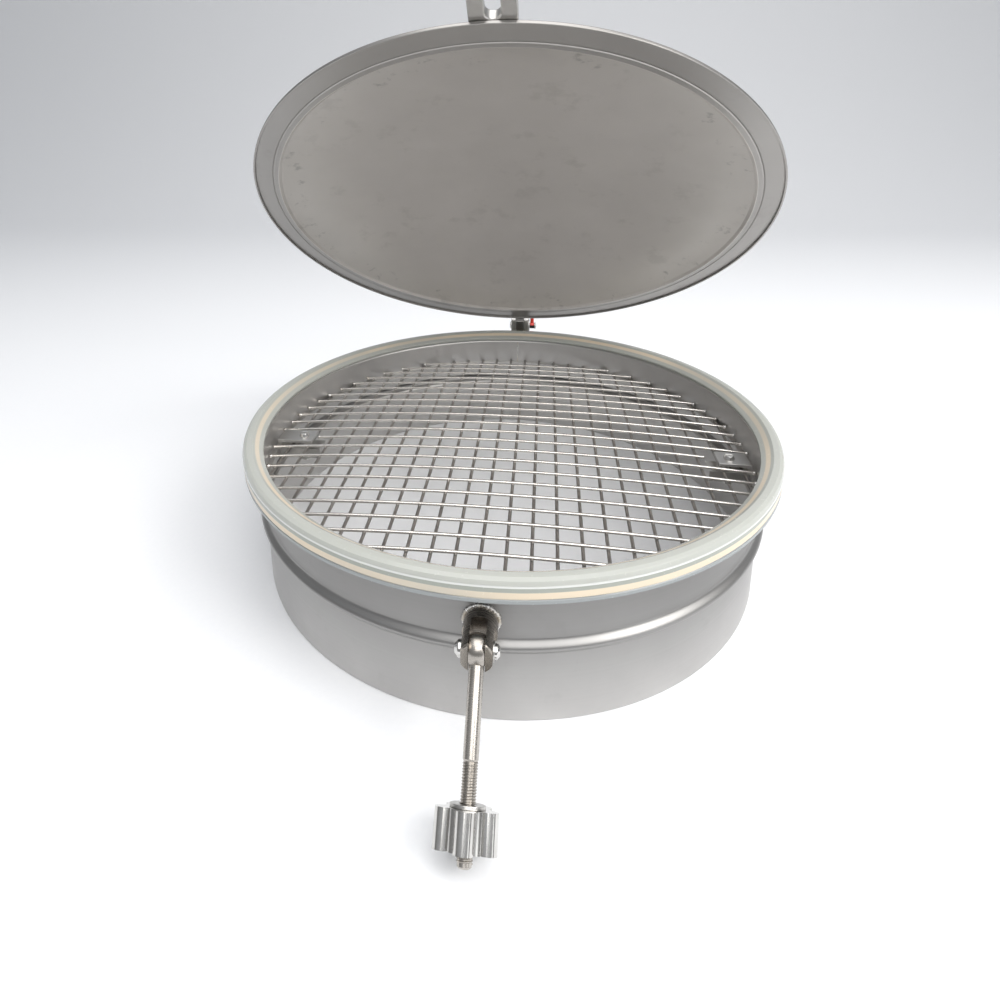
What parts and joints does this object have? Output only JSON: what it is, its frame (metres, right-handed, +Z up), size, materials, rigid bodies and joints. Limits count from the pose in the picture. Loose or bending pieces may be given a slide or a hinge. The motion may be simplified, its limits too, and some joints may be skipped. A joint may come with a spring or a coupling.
{
  "type": "round hinged access hatch",
  "caption": "Round stainless access hatch: weld-in neck, rim gasket, wire safety grid, dished lid on a rear hinge with clamp lever, swing-bolt closure.",
  "frame": {"origin": "centre of the neck's bottom edge, on the neck axis", "axes": "+Z up along the neck axis, -Y towards the swing bolt, +Y towards the hinge, +X to the right seen from the swing bolt"},
  "size_m": [0.542, 0.6765, 0.5212],
  "materials": {
    "satin_sheet": "satin",
    "lid_sheet": "satin",
    "bright_wire": "bright drawn",
    "machined_steel": "machined",
    "polished_steel": "polished",
    "weld_steel": "as welded",
    "dark_metal": "satin",
    "red_plastic": "gloss",
    "silicone": "smooth translucent silicone"
  },
  "bodies": {
    "neck": {"neck_shell": "satin_sheet", "rim_gasket": "silicone", "seat_ring": "satin_sheet", "cross_wires": "bright_wire", "long_wires": "bright_wire", "clip_lugs": "machined_steel", "clip_plates": "satin_sheet", "clip_screws": "polished_steel", "clip_nuts": "machined_steel", "fork_collar": "weld_steel", "bolt_fork": "machined_steel", "fork_pin": "polished_steel", "fork_pin_ring": "machined_steel", "hinge_foot": "machined_steel", "hinge_bracket": "machined_steel", "hinge_pin": "polished_steel", "hinge_washer": "machined_steel", "lever_ring": "polished_steel"},
    "lid": {"lid_shell": "lid_sheet", "lid_arm": "machined_steel", "lid_lug": "machined_steel"},
    "swing_bolt": {"eye_bolt": "polished_steel"},
    "knob": {"star_knob": "polished_steel", "knob_washer": "machined_steel"},
    "clamp_lever": {"lever_hub": "dark_metal", "lever_grip": "red_plastic"}
  },
  "joints": [
    {"name": "lid_hinge", "type": "hinge", "parent": "neck", "child": "lid", "pos_m": [0.0045, 0.295, 0.132], "axis": [-1, 0, 0], "range_deg": [-40, 60]},
    {"name": "bolt_swing", "type": "hinge", "parent": "neck", "child": "swing_bolt", "pos_m": [0, -0.2768, 0.0875], "axis": [-1, 0, 0], "range_deg": [0, 133]},
    {"name": "knob_turn", "type": "hinge", "parent": "swing_bolt", "child": "knob", "pos_m": [0, -0.2768, 0.0875], "axis": [0, -0.7314, -0.682], "continuous": true},
    {"name": "lever_turn", "type": "hinge", "parent": "neck", "child": "clamp_lever", "pos_m": [0.0045, 0.295, 0.132], "axis": [1, 0, 0], "range_deg": [-90, 60]}
  ]
}
